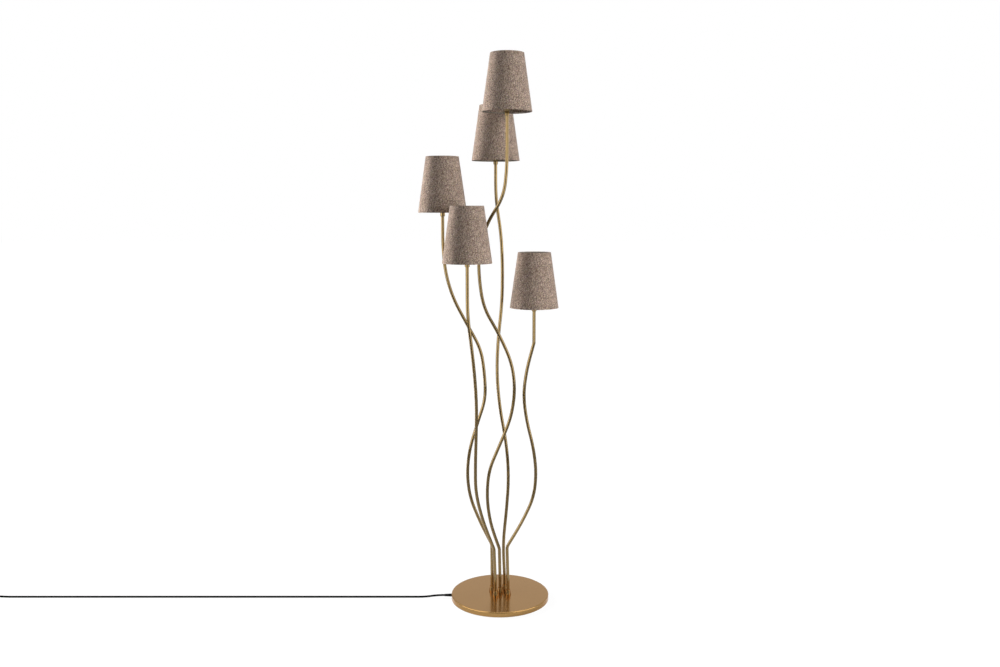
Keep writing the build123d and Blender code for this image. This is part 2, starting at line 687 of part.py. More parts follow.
def coil_point(turn):
    """A point on the coil, counted in turns from its outer end, and the way the cord runs there."""
    middle = COIL_TURNS / 2
    inward = min(turn, COIL_TURNS - turn)
    radius = COIL_RADIUS - COIL_PITCH * inward
    climb = min(max((turn - middle) / CLIMB_TURNS + 0.5, 0), 1)
    height = CORD_RADIUS + COIL_LAYER * climb
    angle = 2 * pi * (turn + 0.25)
    point = Vector(COIL_CENTRE_X + radius * cos(angle), COIL_CENTRE_Y + radius * sin(angle), height)
    narrowing = 0 if turn in (0, middle, COIL_TURNS) else 1 if turn < middle else -1
    growth = -narrowing * COIL_PITCH / (2 * pi)
    rise = COIL_LAYER / CLIMB_TURNS / (2 * pi) if turn == middle else 0
    way = Vector(
        growth * cos(angle) - radius * sin(angle),
        growth * sin(angle) + radius * cos(angle),
        rise,
    )
    return point, way.normalized()


def make_cord_coil():
    along = Vector(-1, 0, 0)
    first = Vector(SWITCH_FAR, 0, PORT_HEIGHT)
    straight_end = first + along * (2 * CORD_RADIUS)
    quarters = [coil_point(quarter / 4) for quarter in range(int(COIL_TURNS * 4) + 1)]
    plug_end = Vector(PLUG_NECK_START, PLUG_Y, PLUG_HEIGHT)
    plug_straight = plug_end + along * (2 * CORD_RADIUS)
    with BuildPart() as cord_coil:
        with BuildLine() as path:
            Line(first, straight_end)
            biarc(straight_end, along, *quarters[0])
            for (start, start_way), (end, end_way) in zip(quarters, quarters[1:]):
                biarc(start, start_way, end, end_way)
            biarc(*quarters[-1], plug_straight, along * -1)
            Line(plug_straight, plug_end)
        with BuildSketch(Plane(origin=first, z_dir=along)) as section:
            Circle(CORD_RADIUS)
        sweep(sections=section.sketch, path=path.line)
    write(cord_coil, "cord_coil")
    print_tube("cord_coil", cord_coil, path, pi * CORD_RADIUS**2)
    print(f"cord_coil: least gap to itself {coil_gap(path.wire()):.2f}")


def coil_gap(line):
    """Least gap between stretches of the coil that lie more than a few diameters apart along it."""
    count = 400
    nearest = 8 * CORD_RADIUS
    points = [line @ (step / count) for step in range(count + 1)]
    skip = int(count * nearest / line.length)
    gaps = [
        (points[i] - points[j]).length for i in range(count + 1) for j in range(i + skip, count + 1)
    ]
    return min(gaps) - 2 * CORD_RADIUS


def make_switch_base():
    with BuildPart() as switch_base:
        with BuildSketch():
            with Locations((SWITCH_CENTRE, 0)):
                SlotOverall(SWITCH_LENGTH, SWITCH_WIDTH)
        extrude(amount=SWITCH_BASE_HEIGHT)
        with BuildSketch(Plane.XY.offset(SWITCH_WALL)):
            with Locations((SWITCH_CENTRE, 0)):
                SlotOverall(SWITCH_LENGTH - 2 * SWITCH_WALL, SWITCH_WIDTH - 2 * SWITCH_WALL)
        extrude(amount=SWITCH_BASE_HEIGHT - SWITCH_WALL, mode=Mode.SUBTRACT)
        with BuildSketch(Plane.YZ.offset(SWITCH_FAR - SWITCH_WALL)):
            with Locations((0, PORT_HEIGHT)):
                Circle(PORT_RADIUS)
        extrude(amount=SWITCH_LENGTH + 2 * SWITCH_WALL, mode=Mode.SUBTRACT)
    write(switch_base, "switch_base")


def make_switch_cover():
    with BuildPart() as switch_cover:
        with BuildSketch(Plane.XY.offset(SWITCH_BASE_HEIGHT)):
            with Locations((SWITCH_CENTRE, 0)):
                SlotOverall(SWITCH_LENGTH, SWITCH_WIDTH)
        extrude(amount=SWITCH_HEIGHT - SWITCH_BASE_HEIGHT)
        fillet(switch_cover.faces().sort_by(Axis.Z)[-1].edges(), SWITCH_EDGE)
        with BuildSketch(Plane.XY.offset(SWITCH_BASE_HEIGHT)):
            with Locations((SWITCH_CENTRE, 0)):
                SlotOverall(SWITCH_LENGTH - 4 * SWITCH_WALL, SWITCH_WIDTH - 4 * SWITCH_WALL)
        extrude(amount=SWITCH_HEIGHT - SWITCH_WALL - SWITCH_BASE_HEIGHT, mode=Mode.SUBTRACT)
        with BuildSketch(Plane.XY.offset(SWITCH_HEIGHT - 2 * SWITCH_WALL)):
            with Locations((SWITCH_CENTRE, 0)):
                Circle(BUTTON_RADIUS + BUTTON_GAP)
        extrude(amount=4 * SWITCH_WALL, mode=Mode.SUBTRACT)
    write(switch_cover, "switch_cover")


def make_switch_button():
    flange_top = SWITCH_HEIGHT - SWITCH_WALL - BUTTON_GAP
    with BuildPart() as switch_button:
        with BuildSketch(Plane.XY.offset(BUTTON_BOTTOM)):
            with Locations((SWITCH_CENTRE, 0)):
                Circle(BUTTON_RADIUS)
        extrude(amount=BUTTON_LENGTH)
        fillet(switch_button.edges().sort_by(Axis.Z)[-1], BUTTON_FLANGE)
        with BuildSketch(Plane.XY.offset(flange_top - BUTTON_FLANGE)):
            with Locations((SWITCH_CENTRE, 0)):
                Circle(BUTTON_FLANGE_RADIUS)
        extrude(amount=BUTTON_FLANGE)
    write(switch_button, "switch_button")


def make_switch_spring():
    with BuildPart() as switch_spring:
        with BuildSketch(Plane.XY.offset(SWITCH_WALL)):
            with Locations((SWITCH_CENTRE, 0)):
                Circle(SPRING_RADIUS)
                Circle(SPRING_RADIUS - SPRING_WALL, mode=Mode.SUBTRACT)
        extrude(amount=BUTTON_BOTTOM - SWITCH_WALL)
    write(switch_spring, "switch_spring")


def make_plug_body():
    with BuildPart() as plug_body:
        with BuildSketch():
            with BuildLine():
                Polyline(
                    (PLUG_BACK, PLUG_Y - PLUG_BACK_WIDTH / 2),
                    (PLUG_BACK + PLUG_BODY_LENGTH / 2, PLUG_Y - PLUG_WIDTH / 2),
                    (PLUG_FACE, PLUG_Y - PLUG_WIDTH / 2),
                    (PLUG_FACE, PLUG_Y + PLUG_WIDTH / 2),
                    (PLUG_BACK + PLUG_BODY_LENGTH / 2, PLUG_Y + PLUG_WIDTH / 2),
                    (PLUG_BACK, PLUG_Y + PLUG_BACK_WIDTH / 2),
                    close=True,
                )
            make_face()
        extrude(amount=PLUG_THICKNESS)
        fillet(plug_body.edges().filter_by(Axis.Z), PLUG_EDGE)
        fillet(plug_body.faces().sort_by(Axis.Z)[-1].edges(), PLUG_EDGE / 2)
        with BuildSketch(Plane.XZ.offset(-PLUG_Y)):
            with BuildLine():
                Polyline(
                    (PLUG_NECK_START, PLUG_HEIGHT),
                    (PLUG_NECK_START, PLUG_HEIGHT + CORD_RADIUS + LEAD_CLEARANCE),
                    (PLUG_BACK + PLUG_EDGE, PLUG_HEIGHT + PLUG_NECK_RADIUS),
                    (PLUG_BACK + PLUG_EDGE, PLUG_HEIGHT),
                    close=True,
                )
            make_face()
        revolve(axis=Axis((0, PLUG_Y, PLUG_HEIGHT), (1, 0, 0)))
    write(plug_body, "plug_body")


def make_plug_pins():
    with BuildPart() as plug_pins:
        with BuildSketch(Plane.YZ.offset(PLUG_FACE)):
            with Locations((PLUG_Y, PLUG_HEIGHT)):
                with GridLocations(PIN_SPACING, 1, 2, 1):
                    Circle(PIN_RADIUS)
        extrude(amount=PIN_LENGTH)
        tips = plug_pins.edges().filter_by(GeomType.CIRCLE).group_by(Axis.X)[-1]
        fillet(tips, PIN_RADIUS / 2)
    write(plug_pins, "plug_pins")


make_base_cover()
make_base_weight()
make_base_plate()
make_base_pad()
make_plate_screws()
make_arm_nipples()
make_nipple_washers()
make_nipple_nuts()
make_terminal_block()
make_cord_clamp()
make_strain_relief()
make_inner_wires()
for number, arm in ARMS.items():
    make_ferrule(number, arm)
    make_tube(number, arm)
    make_holder_cup(number, arm)
    make_lampholder(number, arm)
    make_shade_ring(number, arm)
    make_bulb(number, arm)
    make_shade_frame(number, arm)
    make_shade_cover(number, arm)
make_cord()
make_cord_coil()
make_switch_base()
make_switch_cover()
make_switch_button()
make_switch_spring()
make_plug_body()
make_plug_pins()
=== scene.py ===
from math import cos, hypot, pi, radians, sin

import bpy
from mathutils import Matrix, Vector


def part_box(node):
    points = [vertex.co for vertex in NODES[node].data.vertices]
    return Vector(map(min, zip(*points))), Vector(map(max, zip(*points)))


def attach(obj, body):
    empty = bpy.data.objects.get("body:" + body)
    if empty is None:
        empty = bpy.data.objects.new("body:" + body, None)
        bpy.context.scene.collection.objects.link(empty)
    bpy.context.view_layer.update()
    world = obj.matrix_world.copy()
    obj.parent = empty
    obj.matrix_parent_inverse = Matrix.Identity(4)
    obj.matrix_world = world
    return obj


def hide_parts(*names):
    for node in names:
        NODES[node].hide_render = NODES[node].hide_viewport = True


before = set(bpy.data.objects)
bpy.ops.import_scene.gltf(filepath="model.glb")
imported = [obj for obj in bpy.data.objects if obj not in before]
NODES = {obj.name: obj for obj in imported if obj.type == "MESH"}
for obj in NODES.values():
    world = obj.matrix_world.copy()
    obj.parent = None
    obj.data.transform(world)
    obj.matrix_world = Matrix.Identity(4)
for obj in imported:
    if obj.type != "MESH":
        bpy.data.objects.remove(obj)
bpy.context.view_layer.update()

# A floor lamp with five bent gold tubes and five small tweed shades. Metres, +Z up, the shown side faces -Y.

ARM_NUMBERS = (1, 2, 3, 4, 5)
MM = 0.001

# ---- the photograph's camera ----
PHOTO_WIDTH = 1000
FOCAL_PIXELS = 960
SENSOR_MM = 36.0
CAMERA_PITCH = 7.5
CAMERA_PLACE = (0.0, -2.812, 1.187)

# ---- shade, as the solid that it replaces ----
SHADE_BOTTOM_RADIUS = 71.5 * MM
SHADE_TOP_RADIUS = 48.2 * MM
SHADE_HEIGHT = 162.0 * MM
CLOTH = 0.40 * MM           # from the shade's outer face to the cloth's inner one
LINER_OUT = 0.42 * MM       # and to the liner's outer face
LINER_IN = 0.70 * MM        # and to the liner's inner one
TURN_IN = 0.98 * MM         # and to the inner face of the turned-in cloth
TURN_IN_WALL = 0.25 * MM    # thickness of the turned-in cloth
TURN_IN_HEIGHT = 15.0 * MM
SHADE_RIM = 0.5 * MM        # height of the rounded edge
RIM_OUTER = (0.2 * MM, 0.1 * MM)    # from the outer face and from the end, where the edge rounds over
RIM_INNER = (0.1 * MM, 0.2 * MM)    # the same, from the inner face
LINER_EDGE = 1.2 * MM       # from the shade's edge to the liner's
SHADE_ROWS = 12
SEAM_WIDTH = 9.0 * MM
SEAM_RISE = 0.35 * MM
SHADE_STEPS = 144

# ---- tweed ----
YARN_WIDTH = 1.25 * MM
WARP_CROSSINGS = 2.5        # crossings after which a yarn changes tone
WEFT_CROSSINGS = 1.0
YARN_DRIFT = 1.5            # how far a yarn leaves its line over the whole range of the noise, in yarn widths
WARP_WAVES = (0.62, 0.47)   # how often the drift varies across and up the cloth, per yarn width
WEFT_WAVES = (0.45, 0.66)
YARN_DIP = 0.55             # how much lower a yarn lies where it passes under another, which is 1 high
YARN_STAGGER = 0.618        # share of a stretch by which each yarn's changes of tone are shifted
YARN_GAP_SHADE = 0.54            # painted shade: brightness of the colour between the yarns, where 1 is the yarn's own colour
YARN_SHADE_SPAN = 0.55            # what the height of a yarn adds back to that painted shade's brightness
STRAY_DYE = 0.06            # share of a chance colour at each crossing
FUZZ_SCALE = 2400.0         # of the fine fibres, per metre
FUZZ_HEIGHT = 0.5           # of the fibres, where a yarn is 1 high
PARITY_SHIFT = 4000.0       # even, and keeps the count of crossings above 0
WEFT_KEY = 5000.0           # keeps the weft's tones apart from the warp's
TWEED_TONES = (
    (0.0, (70, 52, 41)),
    (0.35, (117, 96, 81)),
    (0.7, (162, 138, 120)),
    (1.0, (230, 207, 187)),
)

# ---- bulb, from the shade's lower edge ----
CAP_FOOT = 23.8 * MM
CAP_TOP = 53.6 * MM
CAP_RADIUS = 6.7 * MM
CAP_THREAD = 0.45 * MM
CAP_TIP_RADIUS = 3.2 * MM
CAP_CONE_RADIUS = 4.0 * MM
CAP_CONE = 1.5 * MM         # height of the contact at the cap's foot
CAP_BELOW = 5.0 * MM        # from the cap's foot to its thread
CAP_ABOVE = 4.0 * MM        # from the thread to the cap's top
CAP_LID = 1.0 * MM          # from the cap's top down to where it is closed
CAP_STEPS = 32
THREAD_TURNS = 6
THREAD_ROWS = 8             # rows of points in each turn of the thread
GLASS_FOOT_RADIUS = 8.0 * MM
GLASS_RADIUS = 17.5 * MM
GLASS_BELLY = 26.0 * MM     # height of the widest place above the cap
GLASS_HEIGHT = 66.0 * MM
GLASS_SUNK = 1.5 * MM       # how far the glass reaches down into the cap
GLASS_PLAY = 0.4 * MM       # between the cap's outer face and the glass in it
GLASS_TIP = 1.4 * MM        # height of the rounded tip
GLASS_TIP_RADIUS = 2.2 * MM
GLASS_TIP_RING = (1.0 * MM, 0.4 * MM)   # radius and depth below the tip of its last ring of points
GLASS_TAPER = 2.3           # 1 is a cone, and more is fuller
GLASS_ROWS = 10
GLASS_STEPS = 48

# ---- cord ----
CORD_RADIUS = 3.0 * MM
CORD_POINTS = [             # in millimetres
    (-170, 0, 8.5),
    (-190, 0, 8.5),
    (-230, 0, 3),
    (-270, 0, 3),
    (-1477, 0, 3),
    (-1512, 0, 3),
    (-1547, 0, 5),
    (-1572, 0, 5),
]
SWITCH_FAR = -1638.0 * MM
PORT_HEIGHT = 5.0 * MM
COIL_CENTRE = (-1686.0 * MM, -36.0 * MM)
COIL_RADIUS = 36.0 * MM
COIL_PITCH = 6.6 * MM
COIL_LAYER = 6.6 * MM
COIL_TURNS = 2.5
CLIMB_TURNS = 0.5
COIL_STEPS = 16             # control points in each turn
PLUG_NECK = (-1641.0 * MM, -72.0 * MM, 7.0 * MM)

# ---- studio ----
FLOOR_TONE = 0.5
FLOOR_SEEN = 0.08           # tone of the floor for the camera, so that it stays at white and no brighter
FLOOR_LIFT = 0.94           # glow added where the camera sees the floor near the lamp
FLOOR_REACH = (1.0, 3.0)    # distances between which that glow grows to the backdrop's white
FLOOR_GLOSS = 0.70          # glow added where a gloss sees the floor at the lamp's foot
GLOSS_REACH = (0.25, 0.9)   # distances between which that glow fades out
ROOM_FRONT = 0.03           # light from the side of the camera
ROOM_BACK = 0.2             # light from behind the lamp
ROOM_TURN = (-0.75, 0.15)   # Y of the directions between which the one becomes the other
GLOSS_FRONT = 0.2           # what a gloss sees of the room on the camera's side, where the backdrop is 1
FLOOR_HALF = 30.0
FLOOR_DROP = 0.4 * MM       # keeps the floor clear of the faces that rest on it
LAMP_MIDDLE = (0.0, 0.0, 0.9)
SHEEN_SIZE = (3.2, 2.5)
SHEEN_TARGET = (0.0, 0.0, 1.55)
# name, place, target, size, power, whether it lights the object, whether it shows in its gloss
LIGHTS = (
    ("left_box", (-2.75, 1.05, 1.3), LAMP_MIDDLE, (1.0, 2.6), 230, True, False),
    ("right_box", (2.6, -1.5, 1.4), LAMP_MIDDLE, (1.0, 2.4), 100, True, False),
    ("top_box", (0.0, -0.9, 3.3), LAMP_MIDDLE, (2.8, 1.2), 8, True, True),
    ("left_sheen", (-2.15, -1.1, 1.55), SHEEN_TARGET, SHEEN_SIZE, 84, False, True),
    ("right_sheen", (2.15, -1.1, 1.55), SHEEN_TARGET, SHEEN_SIZE, 72, False, True),
    ("top_sheen", (0.0, 0.1, 3.2), (0.0, 0.1, 0.0), (3.6, 1.8), 55, False, True),
)

# ---- tones ----
WEAR = 1.4                  # how much lighter a rubbed place is
BLACK = (0.0, 0.0, 0.0)
WHITE = (1.0, 1.0, 1.0)


# ---------------------------------------------------------------- materials

class Graph:
    """A material's node tree, with short calls for the nodes used here."""

    def __init__(self, name):
        self.material = bpy.data.materials.new(name)
        self.material.use_nodes = True
        self.tree = self.material.node_tree
        self.shader = self.tree.nodes["Principled BSDF"]

    def node(self, kind, **settings):
        made = self.tree.nodes.new(kind)
        for key, value in settings.items():
            setattr(made, key, value)
        return made

    def link(self, source, target):
        self.tree.links.new(source, target)

    def set(self, **values):
        """Values on the shader's own sockets, whose names are written with _ for a space."""
        for key, value in values.items():
            self.shader.inputs[key.replace("_", " ")].default_value = value

    def math(self, operation, a, b=None, clamp=False):
        made = self.node("ShaderNodeMath", operation=operation, use_clamp=clamp)
        for socket, value in zip(made.inputs, (a, b)):
            if value is None:
                continue
            if isinstance(value, (int, float)):
                socket.default_value = value
            else:
                self.link(value, socket)
        return made.outputs[0]

    def noise(self, vector, scale, detail=2.0, roughness=0.5):
        made = self.node("ShaderNodeTexNoise")
        made.inputs["Scale"].default_value = scale
        made.inputs["Detail"].default_value = detail
        made.inputs["Roughness"].default_value = roughness
        self.link(vector, made.inputs["Vector"])
        return made.outputs["Fac"]

    def stretch(self, vector, scale):
        made = self.node("ShaderNodeVectorMath", operation="MULTIPLY")
        made.inputs[1].default_value = scale
        self.link(vector, made.inputs[0])
        return made.outputs[0]

    def ramp(self, factor, stops):
        made = self.node("ShaderNodeValToRGB")
        elements = made.color_ramp.elements
        while len(elements) < len(stops):
            elements.new(0.5)
        for element, (place, colour) in zip(elements, stops):
            element.position = place
            element.color = (*colour, 1.0)
        self.link(factor, made.inputs["Fac"])
        return made.outputs["Color"]

    def mix(self, factor, a, b, blend="MIX"):
        made = self.node("ShaderNodeMix", data_type="RGBA", blend_type=blend)
        for socket, value in zip((made.inputs[0], made.inputs[6], made.inputs[7]), (factor, a, b)):
            if isinstance(value, (int, float)):
                socket.default_value = value
            elif isinstance(value, tuple):
                socket.default_value = (*value, 1.0)
            else:
                self.link(value, socket)
        return made.outputs[2]

    def object_coordinates(self):
        return self.node("ShaderNodeTexCoord").outputs["Object"]

    def uv(self):
        return self.node("ShaderNodeTexCoord").outputs["UV"]

    def bump(self, height, strength, distance):
        made = self.node("ShaderNodeBump")
        made.inputs["Strength"].default_value = strength
        made.inputs["Distance"].default_value = distance
        self.link(height, made.inputs["Height"])
        self.link(made.outputs["Normal"], self.shader.inputs["Normal"])

    def colour(self, source):
        self.link(source, self.shader.inputs["Base Color"])

    def roughness(self, factor, low, high):
        made = self.node("ShaderNodeMapRange")
        made.inputs["To Min"].default_value = low
        made.inputs["To Max"].default_value = high
        self.link(factor, made.inputs["Value"])
        self.link(made.outputs["Result"], self.shader.inputs["Roughness"])


def linear(red, green, blue):
    """A colour read from the screen, 0 to 255, as the linear values that a shader takes."""
    values = (channel / 255 for channel in (red, green, blue))
    return tuple(v / 12.92 if v <= 0.04045 else ((v + 0.055) / 1.055) ** 2.4 for v in values)


def gold_lacquer(name, light, dark, rough, coat):
    """Antique gold: metal under satin lacquer, with faint orange peel and a slow drift in tone."""
    g = Graph(name)
    place = g.object_coordinates()
    g.colour(g.mix(g.noise(place, 9.0, 2.0), dark, light))
    g.roughness(g.noise(place, 30.0, 3.0), *rough)
    g.set(Metallic=0.95, Specular_Tint=(1.0, 0.85, 0.77, 1.0), Coat_Weight=coat, Coat_Roughness=0.08)
    g.bump(g.noise(place, 260.0, 1.0), 0.02, 0.0003)
    return g.material


def tweed():
    """Grey-brown tweed: a plain weave of mixed yarns with pale and dark slubs, in metres along the cloth,
    with shade painted into the gaps between the yarns.
    """
    g = Graph("shade_tweed")
    split = g.node("ShaderNodeSeparateXYZ")
    g.link(g.stretch(g.uv(), (1 / YARN_WIDTH, 1 / YARN_WIDTH, 1.0)), split.inputs[0])

    def wavy(place, waves):
        """A yarn's course is never quite straight: it leaves its line by up to about a third of its width."""
        drift = g.noise(g.stretch(g.uv(), (waves[0] / YARN_WIDTH, waves[1] / YARN_WIDTH, 1.0)), 1.0, 1.0)
        return g.math("ADD", place, g.math("MULTIPLY", g.math("SUBTRACT", drift, 0.5), YARN_DRIFT))

    across = wavy(split.outputs["X"], WARP_WAVES)
    up = wavy(split.outputs["Y"], WEFT_WAVES)
    warp_number = g.math("FLOOR", across)
    weft_number = g.math("FLOOR", up)
    crossing = g.math("ADD", warp_number, g.math("ADD", weft_number, PARITY_SHIFT))
    over = g.math("MODULO", crossing, 2.0)
    warp_round = g.math("ABSOLUTE", g.math("SINE", g.math("MULTIPLY", across, pi)))
    weft_round = g.math("ABSOLUTE", g.math("SINE", g.math("MULTIPLY", up, pi)))
    dip = g.math("MULTIPLY", over, YARN_DIP)
    warp_height = g.math("MULTIPLY", warp_round, g.math("ADD", dip, 1.0 - YARN_DIP))
    weft_height = g.math("MULTIPLY", weft_round, g.math("SUBTRACT", 1.0, dip))
    height = g.math("MAXIMUM", warp_height, weft_height)

    def chance(x, y, channel="Value"):
        pair = g.node("ShaderNodeCombineXYZ")
        g.link(x, pair.inputs["X"])
        g.link(y, pair.inputs["Y"])
        made = g.node("ShaderNodeTexWhiteNoise", noise_dimensions="2D")
        g.link(pair.outputs[0], made.inputs["Vector"])
        return made.outputs[channel]

    def stretch_of_yarn(number, along, crossings):
        """Which stretch of its yarn a place is on: each yarn changes tone after a number of crossings."""
        start = g.math("FRACT", g.math("MULTIPLY", number, YARN_STAGGER))
        return g.math("FLOOR", g.math("ADD", g.math("MULTIPLY", along, 1 / crossings), start))

    warp_stretch = stretch_of_yarn(warp_number, up, WARP_CROSSINGS)
    weft_stretch = stretch_of_yarn(weft_number, across, WEFT_CROSSINGS)
    warp_tone = chance(warp_number, warp_stretch)
    weft_tone = chance(weft_stretch, g.math("ADD", weft_number, WEFT_KEY))
    tone = g.math(
        "ADD",
        g.math("MULTIPLY", warp_tone, over),
        g.math("MULTIPLY", weft_tone, g.math("SUBTRACT", 1.0, over)),
    )
    colour = g.ramp(tone, [(place, linear(*yarn)) for place, yarn in TWEED_TONES])
    dyed = chance(weft_number, warp_number, "Color")
    colour = g.mix(STRAY_DYE, colour, dyed)
    # painted shade: the colour is multiplied down between the yarns and back up to its own tone at their tops
    painted_gap_shade = g.math("ADD", g.math("MULTIPLY", height, YARN_SHADE_SPAN), YARN_GAP_SHADE, clamp=True)
    g.colour(g.mix(1.0, colour, g.ramp(painted_gap_shade, ((0.0, BLACK), (1.0, WHITE))), "MULTIPLY"))
    g.set(Roughness=0.92, Sheen_Weight=0.3, Sheen_Roughness=0.3, Sheen_Tint=(0.92, 0.96, 1.0, 1.0))
    g.set(Specular_IOR_Level=0.2)
    fuzz = g.noise(g.stretch(g.uv(), (FUZZ_SCALE, FUZZ_SCALE, 1.0)), 1.0, 2.0)
    g.bump(g.math("ADD", height, g.math("MULTIPLY", fuzz, FUZZ_HEIGHT)), 0.55, 0.0004)
    return g.material


def liner_film():
    """The white plastic film that the cloth is laminated on, a little yellowed by the light."""
    g = Graph("shade_liner")
    place = g.uv()
    yellowed = g.noise(g.stretch(place, (18.0, 18.0, 1.0)), 1.0)
    g.colour(g.mix(yellowed, linear(238, 232, 220), linear(246, 243, 236)))
    g.roughness(g.noise(g.stretch(place, (40.0, 40.0, 1.0)), 1.0), 0.42, 0.55)
    g.bump(g.noise(g.stretch(place, (900.0, 900.0, 1.0)), 1.0), 0.1, 0.0002)
    return g.material


def plastic(name, colour, rough, grain, metallic=0.0, specular=0.5):
    """Moulded plastic, or with metallic 1 a plated metal, with a fine grain."""
    g = Graph(name)
    place = g.object_coordinates()
    worn = tuple(min(1.0, channel * WEAR) for channel in colour)
    g.colour(g.mix(g.math("MULTIPLY", g.noise(place, 45.0, 3.0), 0.7), colour, worn))
    g.roughness(g.noise(place, 120.0, 3.0), *rough)
    g.set(Metallic=metallic, Specular_IOR_Level=specular)
    g.bump(g.noise(place, grain, 2.0), 0.12, 0.0002)
    return g.material


def cast_iron():
    g = Graph("raw_iron")
    place = g.object_coordinates()
    g.colour(g.mix(g.noise(place, 70.0, 4.0), linear(48, 46, 45), linear(84, 74, 66)))
    g.roughness(g.noise(place, 200.0, 3.0), 0.6, 0.85)
    g.set(Metallic=0.5)
    g.bump(g.noise(place, 420.0, 4.0), 0.5, 0.0006)
    return g.material


def felt():
    g = Graph("pressed_felt")
    place = g.object_coordinates()
    g.colour(g.mix(g.noise(place, 900.0, 4.0, 0.7), linear(26, 25, 25), linear(58, 56, 54)))
    g.set(Roughness=0.95, Sheen_Weight=0.4, Sheen_Roughness=0.5)
    g.bump(g.noise(place, 1600.0, 3.0), 0.6, 0.0005)
    return g.material


def opal_glass():
    g = Graph("opal_glass")
    place = g.object_coordinates()
    g.colour(g.mix(g.noise(place, 30.0), linear(240, 238, 232), linear(248, 247, 243)))
    g.roughness(g.noise(place, 90.0), 0.12, 0.2)
    g.set(Coat_Weight=0.6, Coat_Roughness=0.05, Subsurface_Weight=0.3, Subsurface_Scale=0.004)
    return g.material


GOLD = gold_lacquer("gold_lacquer", linear(151, 118, 71), linear(143, 111, 66), (0.15, 0.2), 0.12)
# a darker copy of the base's gold for the tubes and holder cups: the darker tone is painted shade
SHADED_GOLD_TUBE = gold_lacquer("gold_lacquer_tube_shaded", linear(126, 104, 60), linear(112, 91, 50), (0.15, 0.2), 0.7)
TWEED = tweed()
LINER = liner_film()
BLACK_SHEATH = plastic("black_sheath", linear(5, 5, 5), (0.5, 0.6), 700.0, specular=0.05)
BLACK_RUBBER = plastic("black_rubber", linear(12, 12, 12), (0.5, 0.65), 1200.0, specular=0.12)
BLACK_PLASTIC = plastic("black_plastic", linear(16, 15, 15), (0.34, 0.45), 1500.0, specular=0.2)
BUTTON_PLASTIC = plastic("button_plastic", linear(26, 25, 25), (0.22, 0.3), 1500.0, specular=0.3)
WHITE_PLASTIC = plastic("white_plastic", linear(226, 224, 218), (0.3, 0.42), 1500.0)
ZINC = plastic("zinc_plate", linear(170, 170, 168), (0.28, 0.4), 500.0, metallic=1.0)
NICKEL = plastic("nickel_plate", linear(205, 200, 190), (0.18, 0.28), 400.0, metallic=1.0)
BRASS_CAP = plastic("cap_brass", linear(200, 178, 128), (0.22, 0.32), 400.0, metallic=1.0)
FRAME_WIRE = plastic("frame_wire_zinc", linear(122, 116, 108), (0.4, 0.55), 500.0, metallic=1.0)
IRON = cast_iron()
FELT = felt()
OPAL = opal_glass()

NODE_MATERIALS = {
    "base_cover": GOLD,
    "base_weight": IRON,
    "base_plate": ZINC,
    "base_pad": FELT,
    "plate_screws": ZINC,
    "arm_nipples": ZINC,
    "nipple_washers": ZINC,
    "nipple_nuts": ZINC,
    "terminal_block": WHITE_PLASTIC,
    "cord_clamp": BLACK_PLASTIC,
    "strain_relief": BLACK_RUBBER,
    "inner_wires": BLACK_SHEATH,
    "switch_base": BLACK_PLASTIC,
    "switch_cover": BLACK_PLASTIC,
    "switch_button": BUTTON_PLASTIC,
    "switch_spring": ZINC,
    "plug_body": BLACK_PLASTIC,
    "plug_pins": NICKEL,
}
ARM_MATERIALS = {
    "ferrule": GOLD,
    "tube": SHADED_GOLD_TUBE,
    "holder_cup": SHADED_GOLD_TUBE,
    "lampholder": BLACK_PLASTIC,
    "shade_ring": BLACK_PLASTIC,
    "shade_frame": FRAME_WIRE,
}


def dress(node, material):
    slots = NODES[node].material_slots
    if not slots:
        NODES[node].data.materials.append(material)
    for slot in slots:
        slot.material = material


def dress_nodes():
    for node, material in NODE_MATERIALS.items():
        dress(node, material)
    for number in ARM_NUMBERS:
        for kind, material in ARM_MATERIALS.items():
            dress(f"{kind}_{number}", material)


# ---------------------------------------------------------------- meshes

def add_piece(name, vertices, faces, uvs, material):
    mesh = bpy.data.meshes.new(name)
    mesh.from_pydata(vertices, [], faces)
    if uvs:
        layer = mesh.uv_layers.new(name="cloth")
        for loop_number, uv in enumerate(uvs):
            layer.data[loop_number].uv = uv
    for polygon in mesh.polygons:
        polygon.use_smooth = True
    mesh.materials.append(material)
    mesh.update()
    piece = bpy.data.objects.new(name, mesh)
    bpy.context.scene.collection.objects.link(piece)
    return piece


def turned(name, profile, centre, steps, material, proud=None):
    """A closed profile of (radius, height) turned about an upright axis, with UV coordinates in metres."""
    count = len(profile)
    run = [0.0]
    for (r0, z0), (r1, z1) in zip(profile, profile[1:] + profile[:1]):
        run.append(run[-1] + hypot(r1 - r0, z1 - z0))
    round_scale = max(radius for radius, _ in profile)
    vertices = []
    for step in range(steps):
        angle = 2 * pi * step / steps
        for corner, (radius, height) in enumerate(profile):
            r = radius + (proud(angle, corner) if proud else 0.0)
            vertices.append((centre[0] + r * cos(angle), centre[1] + r * sin(angle), centre[2] + height))
    faces = []
    uvs = []
    for step in range(steps):
        after = (step + 1) % steps
        u0 = 2 * pi * round_scale * step / steps
        u1 = 2 * pi * round_scale * (step + 1) / steps
        for corner in range(count):
            up = (corner + 1) % count
            faces.append(
                (step * count + corner, after * count + corner, after * count + up, step * count + up)
            )
            uvs += [(u0, run[corner]), (u1, run[corner]), (u1, run[corner + 1]), (u0, run[corner + 1])]
    return add_piece(name, vertices, faces, uvs, material)


